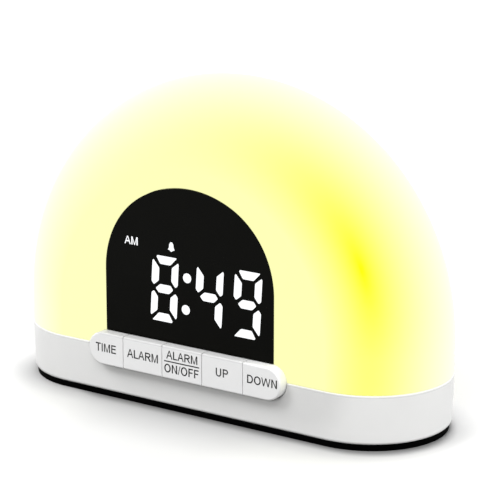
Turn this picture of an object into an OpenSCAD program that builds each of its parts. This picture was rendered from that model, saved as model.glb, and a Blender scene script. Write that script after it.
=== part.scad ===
// Sunrise alarm clock: a half-disc lamp on a stadium-shaped base, with a display window and five keys.
// Millimetres. X runs left to right, the front faces -Y and Z is up.
// The origin is the middle of the sole's underside.

/* [Base] */
// Width of the base, left to right
base_w = 160; // [150:1:180]
// Depth of the base, front to back
base_d = 55; // [54:0.5:64]
// Height of the base from its lower edge to the seam under the dome
base_h = 16.6; // [16.6:0.1:20]
// How far each side of the base leans in towards its lower edge
base_draft = 0.5; // [0.2:0.1:0.8]
// Rounding of the base's edge at the seam
seam_round = 0.9; // [0.4:0.1:1.2]
// Rounding of the base's lower edge
lower_round = 1.1; // [0.4:0.1:1.3]
// Thickness of the plate that closes the base
cover_t = 2; // [1.6:0.1:2.6]
// Height of the rubber sole
sole_h = 2.1; // [1.5:0.1:3]
// How far the sole stays back from the base's widest outline
sole_inset = 1.3; // [1:0.1:2.5]

/* [Dome] */
// How far the dome stays back from the base's outline
dome_inset = 0.2; // [0.1:0.05:0.5]
// Wall of the dome
dome_wall = 2; // [1.6:0.1:2.6]
// Height of the dome's straight skirt above the seam, up to the centre of its round
dome_skirt = 11; // [9:0.1:14]

/* [Display] */
// Width of the display window
window_w = 66.8; // [66:0.2:70]
// Height above the seam at which the window's straight sides turn into its arch
window_rise = 26.8; // [26:0.1:28]
// Radius of the window's arch at its two sides
arch_side_r = 30; // [29:0.5:32]
// Radius of the window's arch over its top
arch_top_r = 37.5; // [36:0.5:42]
// Gap all round between the window and the dome
window_gap = 0.15; // [0.1:0.05:0.3]
// Height of a digit
digit_h = 22.4; // [18:0.1:23]
// Width of a digit
digit_w = 10.7; // [9:0.1:11]
// Width of a lit segment
segment_w = 3; // [2.4:0.1:3.2]
// Distance between the two digits of a pair
digit_pitch = 14.9; // [14.5:0.1:15.2]
// Distance from the display's middle to the digits beside the colon
digit_x = 8.95; // [8.8:0.05:9.2]
// Diameter of a colon dot
dot_d = 3.7; // [2.8:0.1:3.8]
// Lean of the digits, sideways per unit of height
digit_lean = 0.04; // [0:0.01:0.06]

/* [Keys] */
// Length of the key bar
bar_w = 77; // [76:0.5:80]
// Height of the key bar
bar_h = 11.1; // [10:0.1:11.5]
// How far the key bar's middle lies below the seam
bar_drop = 0.5; // [0:0.1:0.8]
// How far the keys stand out of the dome's front
key_proud = 3.5; // [2.5:0.1:4.5]
// Distance between neighbouring keys
key_pitch = 16; // [15.5:0.1:16.4]
// Gap between two keys
key_gap = 0.3; // [0.2:0.05:0.4]
// How far a key travels when pressed
key_travel = 0.6; // [0.3:0.05:0.8]
// Rounding of the bar's front edge
key_round = 0.6; // [0.3:0.1:1]

/* [Coin cell] */
// Diameter of the coin cell
cell_d = 20; // [16:0.5:20]
// Thickness of the coin cell
cell_h = 3.2; // [2:0.1:3.2]
// How far the battery door turns to unlock, in degrees
door_turn = 45; // [30:5:60]

/* [Hidden] */

// Facets of large and of small round shapes
round_fn = 96;
small_fn = 40;
// Overlap that makes one solid of two shapes
eps = 0.1;
// How far a cut runs past the face that it leaves
past = 1;
// Clearance between pieces that slide or turn on each other
run_gap = 0.3;
// Clearance between pieces that are only put together
fit_gap = 0.2;
board_t = 1.6;

// Self-tapping screws, all of one size
screw_head_r = 2;
screw_head_h = 1.2;
screw_r = 1;
pilot_room = 0.05;
pilot_r = screw_r + pilot_room;
pilot_spare = 0.3;
screw_room = 0.25;
screw_hole_r = screw_r + screw_room;
screw_len = 7;
short_screw_len = 4.6;
slot_w = 0.4;
slot_l = 2.4;
head_sink = 0.1;

// Outline of base and dome: straight middle with half-round ends
base_half = base_d / 2;
end_x = base_w / 2 - base_half;
dome_half = base_half - dome_inset;
dome_r = base_w / 2 - dome_inset;
inner_half = dome_half - dome_wall;
sole_half = base_half - sole_inset;
base_top = sole_h + base_h;
dome_z = base_top + dome_skirt;
cover_top = sole_h + cover_t;
// How far the sole stays back from the door and the screws in it
sole_room = 1;

// Ledge and lip inside the base's upper edge, which carry deck and dome
ledge_t = 2.2;
ledge_w = 3.7;
lip_t = 1.4;
lip_h = 3;
lip_r1 = inner_half - fit_gap;
lip_r0 = lip_r1 - lip_t;
ledge_r0 = inner_half - ledge_w;
catch_w = 8;
catch_h = 1;
catch_out = 0.6;
catch_inset = 5.5;
catch_rise = 1.4;
catch_x = end_x - catch_inset;
catch_z = base_top + catch_rise;

// Bosses that hold the bottom cover and the deck
boss_r = 3;
boss_angle = 45;
boss_at = lip_r0 - boss_r;
cover_boss_x = end_x + boss_at * cos(boss_angle);
cover_boss_y = boss_at * sin(boss_angle);

// Layers behind the front, from the key faces back to the shroud
face_y = -dome_half;
wall_y = -inner_half;
key_y = face_y - key_proud;
flange_t = 1.2;
flange_out = 0.9;
flange_y0 = wall_y + run_gap;
flange_y1 = flange_y0 + flange_t;
// Room that is left behind a key when it is pressed all the way
stop_gap = 0.4;
frame_t = 1.5;
frame_y0 = flange_y1 + key_travel + stop_gap;
frame_y1 = frame_y0 + frame_t;
stem_proud = 1.5;
stem_y = frame_y1 + key_travel + stop_gap;
switch_h = 3.5;
switch_y = stem_y + stem_proud;
board_y0 = switch_y + switch_h;
board_y1 = board_y0 + board_t;
window_flange_t = 1;
window_y1 = wall_y + window_flange_t;
shroud_wall = 1.2;
shroud_room = 6.2;
shroud_y1 = board_y1 + shroud_room + shroud_wall;

// Display window and what lies behind it
window_r = window_w / 2;
window_z = base_top + window_rise;
arch_side_x = window_r - arch_side_r;
arch_top_z = window_z - sqrt((arch_top_r - arch_side_r) ^ 2 - arch_side_x ^ 2);
window_flange = 1.5;
bar_z = base_top - bar_drop;
bar_r = bar_h / 2;
bar_end_x = bar_w / 2 - bar_r;
window_z0 = bar_z + bar_r + fit_gap;
flange_z1 = bar_z + bar_r + flange_out;
window_flange_gap = 0.6;
window_flange_z0 = flange_z1 + window_flange_gap;
digits_drop = 3.8;
digits_z = window_z - digits_drop;
housing_inset = 2.5;
housing_rise = 1.9;
housing_head = 7.6;
housing_x = window_r - housing_inset;
housing_z0 = window_flange_z0 + housing_rise;
housing_z1 = digits_z + digit_h / 2 + housing_head;
marks_rise = 3.6;
marks_z = digits_z + digit_h / 2 + marks_rise;
am_shift = 1.3;
am_x = -digit_x - digit_pitch + am_shift;
am_size = [6.6, 3.8];
bell_shift = 2.6;
bell_x = -digit_x + bell_shift;
bell_size = [3.8, 4.2];
dot_share = 0.24;
dot_z = dot_share * digit_h;
segment_gap = 0.35;
corner_cut = 0.8;
upright_short = 1;
led_size = [1.6, 0.6, 0.8];
diffuser_back = 3;
pin_w = 0.5;
pin_room = 0.1;
pin_pitch = 2.54;
pin_count = 12;
pin_out = 0.9;
pin_inset = 1;
pin_z0 = housing_z0 + pin_inset;
pin_z1 = housing_z1 - pin_inset;

// Keys: x positions of the dividing lines and of the switches
key_edges = [
    -bar_w / 2 - flange_out - past, -1.5 * key_pitch, -0.5 * key_pitch,
    0.5 * key_pitch, 1.5 * key_pitch, bar_w / 2 + flange_out + past
];
end_key_x = (1.5 * key_pitch + bar_w / 2) / 2;
key_x = [-end_key_x, -key_pitch, 0, key_pitch, end_key_x];
key_shell = 1.3;
post_r = 1.6;
stem_r = 1.5;
stem_collar_r = 2.1;
stem_collar_t = 0.8;
switch_w = 6;
chamber_r = 2.5;
switch_skin = 0.8;
switch_floor = 0.4;
disc_r = 2.2;
disc_t = 0.3;

// Main board, upright behind display and keys, and the key frame before it
board_margin = 2;
board_lift = 1.9;
board_head = 1.5;
main_x = window_r + board_margin;
main_z0 = cover_top + board_lift;
main_z1 = housing_z1 + board_head;
frame_margin = 0.4;
frame_lift = 1.1;
frame_head = 0.8;
frame_x = main_x + frame_margin;
frame_z0 = cover_top + frame_lift;
frame_z1 = flange_z1 + frame_head;
frame_boss_rise = 3.9;
frame_boss_x = end_key_x;
frame_boss_z = cover_top + frame_boss_rise;
frame_boss_r = 2.3;
board_boss_inset = 5.2;
board_boss_rise = 5.2;
board_boss_x = end_key_x - board_boss_inset;
board_boss_z = cover_top + board_boss_rise;
board_boss_r = 2.3;
upper_boss_inset = [2.7, 2.3];
upper_boss_x = housing_x - upper_boss_inset[0];
upper_boss_z = housing_z1 - upper_boss_inset[1];

// Parts on the main board
header_size = [7, 4.4, 5];
header_wall = 0.8;
header_split = 1.1;
header_gap = 0.55;
header_rise = 7.9;
header_out_x = board_boss_x - screw_head_r - header_gap - header_size[0] / 2;
header_x = [-header_out_x, 0, header_out_x / 2, header_out_x];
header_z = cover_top + header_rise;
wire_y0 = board_y1 + header_size[1];
parts_drop = 5.8;
parts_z = window_z - parts_drop;
cap_r = 2.5;
cap_l = 5;
cap_x = -16;
cap_step = 8;
chip_w = 10;
chip_lift = 0.2;
chip_h = 1.6;
chip_lead_count = 8;
chip_lead_pitch = 1.1;
chip_lead = [0.4, 0.6, 1];
crystal_x = 14;
crystal_size = [4.4, 3.5, 11];

// Shroud round the display's back
shroud_margin = 0.6;
shroud_in_r = frame_x + shroud_margin;
shroud_r = shroud_in_r + shroud_wall;
ear_share = 0.75;
ear_x = ear_share * shroud_r;
ear_w = 8;
ear_l = 5.6;
ear_t = 1.6;
notch_margin = 1.6;
front_notch_x = bar_w / 2 + flange_out + notch_margin;

// Deck and lamp
deck_t = 1.6;
deck_top = base_top + deck_t;
deck_half = lip_r0 - run_gap;
deck_boss_h = 3;
deck_boss_r = 2.4;
lamp_gap = 1.4;
lamp_y0 = shroud_y1 + ear_l + lamp_gap;
lamp_d = 14;
lamp_reach = 5.5;
lamp_half_w = end_x + lamp_reach;
lamp_cols = 6;
lamp_rows = 2;
lamp_led = [5, 5, 1.6];
lamp_led_inset = 8;
lamp_led_step = 2 * (lamp_half_w - lamp_led_inset) / (lamp_cols - 1);
lamp_row_step = 7;
dish_r = 1.9;
dish_h = 0.4;
lamp_screw_inset = 2.6;
lamp_screw_x = lamp_half_w - lamp_screw_inset;
lamp_mid_y = lamp_y0 + lamp_d / 2;
socket_x = header_x[3];
socket_size = [6, 4, 4];
wire_d = 1.8;
wire_hole_room = 0.8;
wire_hole_r = wire_d / 2 + wire_hole_room;
lamp_wire_y = shroud_y1 + ear_l / 2 + wire_d / 2;
// Gap between the lamp's lead and the speaker's, where one passes the other
lead_gap = 3.8;
speaker_turn_y = lamp_wire_y + wire_d + lead_gap;

// Power inlet at the rear
power_w = 20;
power_d = 16.5;
power_gap = 0.8;
power_rise = 3.9;
power_y1 = inner_half - power_gap;
power_y0 = power_y1 - power_d;
power_z = cover_top + power_rise;
usb_w = 8.94;
usb_h = 3.2;
usb_wall = 0.3;
usb_reach = 5.8;
usb_recess = 0.7;
usb_y0 = inner_half - usb_reach;
usb_y1 = base_half - usb_recess;
usb_z = power_z + board_t + usb_h / 2;
tongue_w = 6.7;
tongue_t = 0.7;
tongue_back = 1.2;
usb_block = 1.6;
power_boss_in = 3.5;
power_boss_x = 7;
power_boss_y = power_y0 + power_boss_in;
power_socket_in = 1;
power_socket_y = power_y0 + power_socket_in;

// Speaker behind the slots in the rear wall
speaker_x = 34;
speaker_w = 30;
speaker_h = 11.6;
speaker_t = 5;
speaker_rim = 1.4;
speaker_z = cover_top + speaker_h / 2;
speaker_y0 = inner_half - speaker_t;
speaker_back = 0.8;
cone_t = 0.6;
cone_back = 3.4;
cone_y = speaker_y0 + cone_back;
magnet_size = [14, 2.2, 6.5];
slot_count = 8;
slot_step = 3;
sound_slot_w = 1.2;
sound_slot_h = 7;
rib_t = 1.2;
rib_d = 4.2;

// Coin cell under a bayonet door in the bottom cover
cell_x = -36;
cell_y = 4;
cell_r = cell_d / 2;
cell_cap_h = 0.8;
cell_cap_inset = 1;
neck_out = 0.9;
neck_r = cell_r + neck_out;
neck_hole_r = neck_r + run_gap;
tab_out = 2.7;
tab_r = cell_r + tab_out;
door_hole_r = tab_r + run_gap;
notch_r = tab_r + fit_gap;
ring_wall = 1.6;
ring_r = door_hole_r + ring_wall;
door_recess = 2.1;
door_skin_t = 1.8;
door_sink = 0.1;
door_z0 = sole_h + door_sink;
door_z1 = door_z0 + door_skin_t;
ring_z0 = sole_h + door_recess;
ring_t = 1.2;
ring_z1 = ring_z0 + ring_t;
tab_z0 = ring_z1 + run_gap;
tab_t = 1.1;
tab_z1 = tab_z0 + tab_t;
tab_angle = 34;
notch_spare_angle = 8;
notch_angle = tab_angle + notch_spare_angle;
cell_z0 = tab_z1 + run_gap;
cell_z1 = cell_z0 + cell_h;
cell_room = 0.4;
holder_wall = 1.6;
holder_roof_t = 1.2;
spring_room = 0.7;
holder_step_z = cell_z0;
holder_in_r = cell_r + cell_room;
holder_r = holder_in_r + holder_wall;
holder_roof_z = cell_z1 + spring_room;
holder_z1 = holder_roof_z + holder_roof_t;
contact_t = 0.3;
contact_gap = 0.05;
contact_lift = 0.2;
contact_angle = 40;
spring_size = [14, 4];
spring_foot_r = 1.5;
coin_slot = [1.8, 15, 1];

// ---- Shapes that repeat ----

// Stadium outline centred at the origin, with its straight part along X
module stadium2d(half_len, r) {
    square([2 * half_len, 2 * r], center = true);
    for (side = [-1, 1])
        translate([side * half_len, 0])
            circle(r = r, $fn = round_fn);
}

// Solid whose profile, drawn as distance from the centre line and height, runs round a stadium
module stadium_sweep(half_len) {
    for (side = [-1, 1])
        translate([side * half_len, 0, 0])
            rotate([0, 0, -90 * side])
                rotate_extrude(angle = 180, $fn = round_fn)
                    children();
    rotate([90, 0, 90])
        linear_extrude(2 * half_len, center = true) {
            children();
            mirror([1, 0, 0])
                children();
        }
}

// Extrusion along Y between two depths of an outline drawn as X and Z
module slab(y0, y1) {
    translate([0, y1, 0])
        rotate([90, 0, 0])
            linear_extrude(y1 - y0)
                children();
}

// Cylinder along Y between two depths, at a place given as X and Z
module rod_y(x, z, r, y0, y1) {
    translate([x, y1, z])
        rotate([90, 0, 0])
            cylinder(r = r, h = y1 - y0, $fn = small_fn);
}

// Box given by its lowest and highest corner
module box(low, high) {
    translate(low)
        cube(high - low);
}

// Plate with the window's outline, larger all round by out and cut off level at z0.
// A side arc joins each straight side to the flatter arc over the top, where both have the same tangent.
module arch_plate(out, z0, y0, y1) {
    half_w = window_r + out;
    top_r = arch_top_r + out;
    slab(y0, y1)
        intersection() {
            union() {
                for (side = [-1, 1])
                    translate([side * arch_side_x, window_z])
                        circle(r = arch_side_r + out, $fn = round_fn);
                // the top arc's share, between the lines from its centre through the side arcs' centres
                intersection() {
                    translate([0, arch_top_z])
                        circle(r = top_r, $fn = round_fn);
                    polygon([
                        [0, arch_top_z],
                        [top_r, arch_top_z + top_r * (window_z - arch_top_z) / arch_side_x],
                        [-top_r, arch_top_z + top_r * (window_z - arch_top_z) / arch_side_x]
                    ]);
                }
                translate([-half_w, z0])
                    square([2 * half_w, window_z - z0]);
            }
            translate([-half_w - past, z0])
                square([2 * half_w + 2 * past, arch_top_z + top_r + past - z0]);
        }
}

// Disc with a full round edge on a straight skirt, as an outer or an inner form
module dome_form(r, half, z0) {
    translate([0, 0, dome_z])
        rotate([90, 0, 0])
            rotate_extrude(angle = 180, $fn = 2 * round_fn) {
                translate([0, -half])
                    square([r - half, 2 * half]);
                intersection() {
                    translate([r - half, 0])
                        circle(r = half, $fn = round_fn);
                    translate([r - half, -half])
                        square([half + past, 2 * half]);
                }
            }
    translate([0, 0, z0])
        linear_extrude(dome_z - z0)
            stadium2d(r - half, half);
}

// Pan-head screw with its head on the plane z = 0 and its shank below
module screw(len) {
    difference() {
        union() {
            cylinder(r = screw_head_r, h = screw_head_h, $fn = small_fn);
            translate([0, 0, -len])
                cylinder(r = screw_r, h = len + eps, $fn = small_fn);
        }
        for (turn = [0, 90])
            rotate([0, 0, turn])
                translate([-slot_l / 2, -slot_w / 2, screw_head_h / 2])
                    cube([slot_l, slot_w, screw_head_h]);
    }
}

// Outline of the key bar, larger all round by out
module bar2d(out) {
    translate([0, bar_z])
        stadium2d(bar_end_x, bar_r + out);
}

// Places of the four bosses that hold the bottom cover and the deck
module at_corner_bosses() {
    for (sx = [-1, 1], sy = [-1, 1])
        translate([sx * cover_boss_x, sy * cover_boss_y, 0])
            children();
}

// ---- Casing ----

module dome() {
    color([1, 0.98, 0.72])
        difference() {
            dome_form(dome_r, dome_half, base_top);
            dome_form(dome_r - dome_wall, inner_half, base_top - past);
            arch_plate(window_gap, bar_z, face_y - past, wall_y + past);
            slab(face_y - past, wall_y + past)
                bar2d(fit_gap);
            dome_catches(fit_gap);
        }
}

// Catches on the lip, or with some room round them the pockets in the dome
module dome_catches(room) {
    for (sx = [-1, 1], sy = [-1, 1])
        translate([sx * catch_x, 0, catch_z])
            mirror([0, 1 - sy, 0])
                box([-catch_w / 2 - room, lip_r1 - eps, -catch_h / 2 - room],
                    [catch_w / 2 + room, lip_r1 + catch_out + room, catch_h / 2 + room]);
}

// Section of the base's wall, ledge and lip, as distance from the centre line and height
module base_section() {
    low_r = base_half - base_draft;
    polygon([
        [inner_half, sole_h],
        [low_r - lower_round, sole_h],
        [low_r, sole_h + lower_round],
        [base_half, base_top - seam_round],
        [base_half - seam_round, base_top],
        [inner_half, base_top]
    ]);
    // the two rounded edges, kept within the wall
    intersection() {
        union() {
            translate([low_r - lower_round, sole_h + lower_round])
                circle(r = lower_round, $fn = small_fn);
            translate([base_half - seam_round, base_top - seam_round])
                circle(r = seam_round, $fn = small_fn);
        }
        translate([inner_half, sole_h])
            square([base_half - inner_half, base_h]);
    }
    translate([ledge_r0, base_top - ledge_t])
        square([ledge_w + eps, ledge_t]);
    translate([lip_r0, base_top - eps])
        square([lip_t, lip_h + eps]);
}

module base_shell() {
    color([0.93, 0.93, 0.93])
        difference() {
            union() {
                stadium_sweep(end_x)
                    base_section();
                dome_catches(0);
                at_corner_bosses()
                    translate([0, 0, cover_top])
                        cylinder(r = boss_r, h = base_top - cover_top, $fn = small_fn);
                // ribs that hold the speaker on both sides
                for (side = [-1, 1])
                    translate([speaker_x + side * (speaker_w / 2 + fit_gap + rib_t / 2), 0, 0])
                        box([-rib_t / 2, inner_half - rib_d, cover_top + fit_gap],
                            [rib_t / 2, inner_half + eps, base_top - eps]);
                // bosses on the front wall that carry the key frame
                for (side = [-1, 1])
                    rod_y(side * frame_boss_x, frame_boss_z, frame_boss_r, wall_y - eps, frame_y0);
            }
            // the front stays free of ledge and lip behind the keys and the display
            box([-front_notch_x, wall_y, base_top - ledge_t - past],
                [front_notch_x, past - ledge_r0, base_top + lip_h + past]);
            // opening for the keys
            slab(-base_half - past, wall_y + eps)
                bar2d(fit_gap);
            at_corner_bosses()
                translate([0, 0, cover_top - past])
                    cylinder(r = pilot_r, h = base_h + past, $fn = small_fn);
            for (side = [-1, 1])
                rod_y(side * frame_boss_x, frame_boss_z, pilot_r,
                    frame_y1 - short_screw_len - pilot_spare, frame_y0 + past);
            // mouth of the power inlet
            slab(inner_half - past, base_half + past)
                translate([0, usb_z])
                    stadium2d(usb_w / 2 - usb_h / 2, usb_h / 2 + fit_gap);
            // sound slots
            for (i = [0 : slot_count - 1])
                slab(inner_half - past, base_half + past)
                    translate([speaker_x + (i - (slot_count - 1) / 2) * slot_step, speaker_z])
                        rotate(90)
                            stadium2d((sound_slot_h - sound_slot_w) / 2, sound_slot_w / 2);
        }
}

module sole() {
    color([0.04, 0.04, 0.04])
        difference() {
            linear_extrude(sole_h)
                stadium2d(end_x, sole_half);
            translate([cell_x, cell_y, -past])
                cylinder(r = door_hole_r + sole_room, h = sole_h + 2 * past, $fn = round_fn);
            at_corner_bosses()
                translate([0, 0, -past])
                    cylinder(r = screw_head_r + sole_room, h = sole_h + 2 * past, $fn = small_fn);
        }
}

// Sector ring between two radii, centred on the angle given
module sector(r0, r1, h, angle, width) {
    rotate([0, 0, angle - width / 2])
        rotate_extrude(angle = width, $fn = round_fn)
            translate([r0, 0])
                square([r1 - r0, h]);
}

module bottom_cover() {
    color([0.9, 0.9, 0.9])
        difference() {
            union() {
                translate([0, 0, sole_h])
                    linear_extrude(cover_t)
                        stadium2d(end_x, inner_half - fit_gap);
                translate([cell_x, cell_y, sole_h])
                    cylinder(r = ring_r, h = ring_z1 - sole_h, $fn = round_fn);
                for (side = [-1, 1])
                    translate([side * power_boss_x, power_boss_y, sole_h + eps])
                        cylinder(r = deck_boss_r, h = power_z - sole_h - eps, $fn = small_fn);
            }
            // recess, hole and notches for the battery door
            translate([cell_x, cell_y, sole_h - past]) {
                cylinder(r = door_hole_r, h = door_recess + past, $fn = round_fn);
                cylinder(r = neck_hole_r, h = ring_z1 - sole_h + 2 * past, $fn = round_fn);
                for (turn = [door_turn, door_turn + 180])
                    sector(neck_r - past, notch_r, ring_z1 - sole_h + 2 * past, turn, notch_angle);
            }
            for (side = [-1, 1])
                translate([side * power_boss_x, power_boss_y, cover_top])
                    cylinder(r = pilot_r, h = power_z, $fn = small_fn);
            at_corner_bosses()
                translate([0, 0, sole_h - past]) {
                    cylinder(r = screw_head_r + run_gap, h = past + screw_head_h + head_sink, $fn = small_fn);
                    cylinder(r = screw_hole_r, h = cover_t + 2 * past, $fn = small_fn);
                }
        }
}

module deck() {
    color([0.96, 0.96, 0.94])
        difference() {
            union() {
                translate([0, 0, base_top])
                    linear_extrude(deck_t)
                        stadium2d(end_x, deck_half);
                deck_boss_places()
                    translate([0, 0, base_top - deck_boss_h])
                        cylinder(r = deck_boss_r, h = deck_boss_h + eps, $fn = small_fn);
            }
            // the display's back and the main board pass here
            box([-shroud_r - fit_gap, -deck_half - past, base_top - past],
                [shroud_r + fit_gap, shroud_y1 + fit_gap, deck_top + past]);
            // room for the flanges of the two end keys
            box([-front_notch_x, -deck_half - past, base_top - past],
                [front_notch_x, frame_y0, deck_top + past]);
            at_corner_bosses()
                translate([0, 0, base_top - past])
                    cylinder(r = screw_hole_r, h = deck_t + 2 * past, $fn = small_fn);
            deck_boss_places()
                translate([0, 0, base_top - deck_boss_h - past])
                    cylinder(r = pilot_r, h = deck_boss_h + deck_t + 2 * past, $fn = small_fn);
            translate([socket_x, lamp_wire_y, base_top - past])
                cylinder(r = wire_hole_r, h = deck_t + 2 * past, $fn = small_fn);
        }
}

// Screw places on the deck: three for the lamp board and two for the shroud's ears
module deck_boss_places() {
    for (i = [-1, 0, 1])
        translate([i * lamp_screw_x, lamp_mid_y, 0])
            children();
    for (side = [-1, 1])
        translate([side * ear_x, shroud_y1 + ear_l / 2, 0])
            children();
}

// ---- Display ----

module display_window() {
    color([0.06, 0.06, 0.06]) {
        arch_plate(0, window_z0, face_y, wall_y + eps);
        arch_plate(window_flange, window_flange_z0, wall_y, window_y1);
    }
}

// Point of a digit, with the lean applied
function lean(p) = [p[0] + digit_lean * p[1], p[1]];

// Upright segment on the right side of a digit, from height z0 to z1, with mitred ends
module upright_segment(z0, z1, outer_cut, inner_cut) {
    x1 = digit_w / 2;
    x0 = x1 - segment_w;
    polygon([
        for (p = [
            [x1, z0 + segment_gap], [x1, z1 - segment_gap],
            [x0, z1 - outer_cut], [x0, z0 + inner_cut]
        ]) lean(p)
    ]);
}

// One digit's seven segments, drawn about its centre
module digit2d() {
    half_h = digit_h / 2;
    half_w = digit_w / 2;
    tip = segment_w / 2;
    mitre = segment_w + segment_gap;
    for (turn = [0, 180])
        rotate(turn) {
            // top or bottom segment
            polygon([
                for (p = [
                    [-half_w + 2 * segment_gap + corner_cut, half_h], [half_w - 2 * segment_gap, half_h],
                    [half_w - mitre - segment_gap, half_h - segment_w],
                    [-half_w + mitre + segment_gap, half_h - segment_w]
                ]) lean(p)
            ]);
            // the two uprights of one side
            upright_segment(tip / 2, half_h - upright_short, mitre, tip);
            upright_segment(-half_h + upright_short, -tip / 2, tip, mitre);
        }
    // middle segment
    polygon([
        for (p = [
            [-half_w + tip + segment_gap, 0], [-half_w + mitre, tip], [half_w - mitre, tip],
            [half_w - tip - segment_gap, 0], [half_w - mitre, -tip], [-half_w + mitre, -tip]
        ]) lean(p)
    ]);
}

// All light windows of the display: four digits, two dots and two marks
module display2d() {
    for (x = [-digit_x - digit_pitch, -digit_x, digit_x, digit_x + digit_pitch])
        translate([x, digits_z])
            digit2d();
    for (side = [-1, 1])
        translate([side * dot_z * digit_lean, digits_z + side * dot_z])
            circle(d = dot_d, $fn = small_fn);
    translate([am_x, marks_z])
        square(am_size, center = true);
    translate([bell_x, marks_z])
        square(bell_size, center = true);
}

module display_housing() {
    color([0.1, 0.1, 0.1])
        difference() {
            box([-housing_x, window_y1, housing_z0], [housing_x, board_y0, housing_z1]);
            slab(window_y1 - past, board_y0 + past)
                display2d();
            for (side = [-1, 1])
                rod_y(side * upper_boss_x, upper_boss_z, pilot_r,
                    board_y1 - screw_len - pilot_spare, board_y0 + past);
        }
}

module segment_diffusers() {
    color([0.95, 0.95, 0.9])
        slab(window_y1, board_y0 - diffuser_back)
            display2d();
}

// Centres of the seven segments of a digit
function segment_centres() = let (half_h = digit_h / 2, side = digit_w / 2 - segment_w / 2) [
    [0, half_h - segment_w / 2], [0, 0], [0, -half_h + segment_w / 2],
    [-side, half_h / 2], [side, half_h / 2], [-side, -half_h / 2], [side, -half_h / 2]
];

module display_leds() {
    places = [
        for (x = [-digit_x - digit_pitch, -digit_x, digit_x, digit_x + digit_pitch], c = segment_centres())
            [x + lean(c)[0], digits_z + c[1]],
        [-dot_z * digit_lean, digits_z - dot_z], [dot_z * digit_lean, digits_z + dot_z],
        [am_x, marks_z], [bell_x, marks_z]
    ];
    color([0.95, 0.9, 0.5])
        for (p = places)
            box([p[0] - led_size[0] / 2, board_y0 - led_size[1], p[1] - led_size[2] / 2],
                [p[0] + led_size[0] / 2, board_y0, p[1] + led_size[2] / 2]);
}

// Square bars at each solder pin, thicker by room on every side
module pin_bars(room, y0, y1) {
    for (i = [0 : pin_count - 1], z = [pin_z0, pin_z1])
        translate([(i - (pin_count - 1) / 2) * pin_pitch, 0, z])
            box([-pin_w / 2 - room, y0, -pin_w / 2 - room], [pin_w / 2 + room, y1, pin_w / 2 + room]);
}

module display_pins() {
    color([0.75, 0.75, 0.72])
        pin_bars(0, board_y0, board_y1 + pin_out);
}

module display_shroud() {
    ear_z0 = deck_top;
    color([0.97, 0.97, 0.95])
        difference() {
            union() {
                difference() {
                    arch_plate(shroud_r - window_r, base_top + fit_gap, wall_y + fit_gap, shroud_y1);
                    arch_plate(shroud_in_r - window_r, base_top - past, wall_y - past,
                        shroud_y1 - shroud_wall);
                }
                for (side = [-1, 1])
                    translate([side * ear_x, 0, 0])
                        box([-ear_w / 2, shroud_y1 - eps, ear_z0],
                            [ear_w / 2, shroud_y1 + ear_l, ear_z0 + ear_t]);
            }
            // room for the flanges of the two end keys
            box([-front_notch_x, wall_y - past, base_top - past],
                [front_notch_x, frame_y0 + eps, window_flange_z0 + fit_gap]);
            for (side = [-1, 1])
                translate([side * ear_x, shroud_y1 + ear_l / 2, ear_z0 - past])
                    cylinder(r = screw_hole_r, h = ear_t + 2 * past, $fn = small_fn);
        }
}

// ---- Main board and what is on it ----

module main_board() {
    color([0.08, 0.35, 0.2])
        difference() {
            intersection() {
                arch_plate(board_margin, main_z0, board_y0, board_y1);
                box([-main_x, board_y0, main_z0], [main_x, board_y1, main_z1]);
            }
            pin_bars(pin_room, board_y0 - past, board_y1 + past);
            for (side = [-1, 1]) {
                rod_y(side * upper_boss_x, upper_boss_z, screw_hole_r, board_y0 - past, board_y1 + past);
                rod_y(side * board_boss_x, board_boss_z, screw_hole_r, board_y0 - past, board_y1 + past);
            }
        }
}

module main_chip() {
    color([0.12, 0.12, 0.12])
        translate([0, board_y1, parts_z]) {
            box([-chip_w / 2, chip_lift, -chip_w / 2], [chip_w / 2, chip_h, chip_w / 2]);
            for (turn = [0, 90, 180, 270], i = [0 : chip_lead_count - 1])
                rotate([0, turn, 0])
                    translate([(i - (chip_lead_count - 1) / 2) * chip_lead_pitch, 0, chip_w / 2])
                        box([-chip_lead[0] / 2, 0, -eps], [chip_lead[0] / 2, chip_lead[1], chip_lead[2]]);
        }
}

module crystal() {
    color([0.8, 0.8, 0.8])
        translate([crystal_x - crystal_size[0] / 2, board_y1, parts_z - crystal_size[2] / 2])
            cube(crystal_size);
}

module capacitors() {
    color([0.15, 0.15, 0.3])
        for (side = [-1, 1])
            rod_y(cap_x, parts_z + side * cap_step / 2, cap_r, board_y1, board_y1 + cap_l);
}

module board_headers() {
    color([0.95, 0.94, 0.88])
        for (x = header_x)
            difference() {
                translate([x, 0, header_z])
                    box([-header_size[0] / 2, board_y1, -header_size[2] / 2],
                        [header_size[0] / 2, wire_y0, header_size[2] / 2]);
                translate([x, wire_y0 - past, header_z])
                    box([-header_size[0] / 2 + header_wall, 0, -header_size[2] / 2 + header_wall],
                        [header_size[0] / 2 - header_wall, 2 * past, -header_split]);
            }
}

// ---- Keys ----

// Slice of the bar that belongs to key i, without the gaps beside it, narrower by inset
module key_slice(i, inset, y0, y1) {
    box([key_edges[i] + key_gap / 2 + inset, y0, 0],
        [key_edges[i + 1] - key_gap / 2 - inset, y1, 2 * bar_z]);
}

// Whole key bar as one solid with a rounded front edge
module bar_solid() {
    depth = -key_y;
    translate([0, 0, bar_z])
        rotate([90, 0, 0])
            stadium_sweep(bar_end_x) {
                translate([0, -flange_y1])
                    square([bar_r, depth + flange_y1 - key_round]);
                translate([0, -flange_y1])
                    square([bar_r - key_round, depth + flange_y1]);
                translate([bar_r - key_round, depth - key_round])
                    intersection() {
                        circle(r = key_round, $fn = small_fn);
                        square(2 * key_round);
                    }
            }
}

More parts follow.
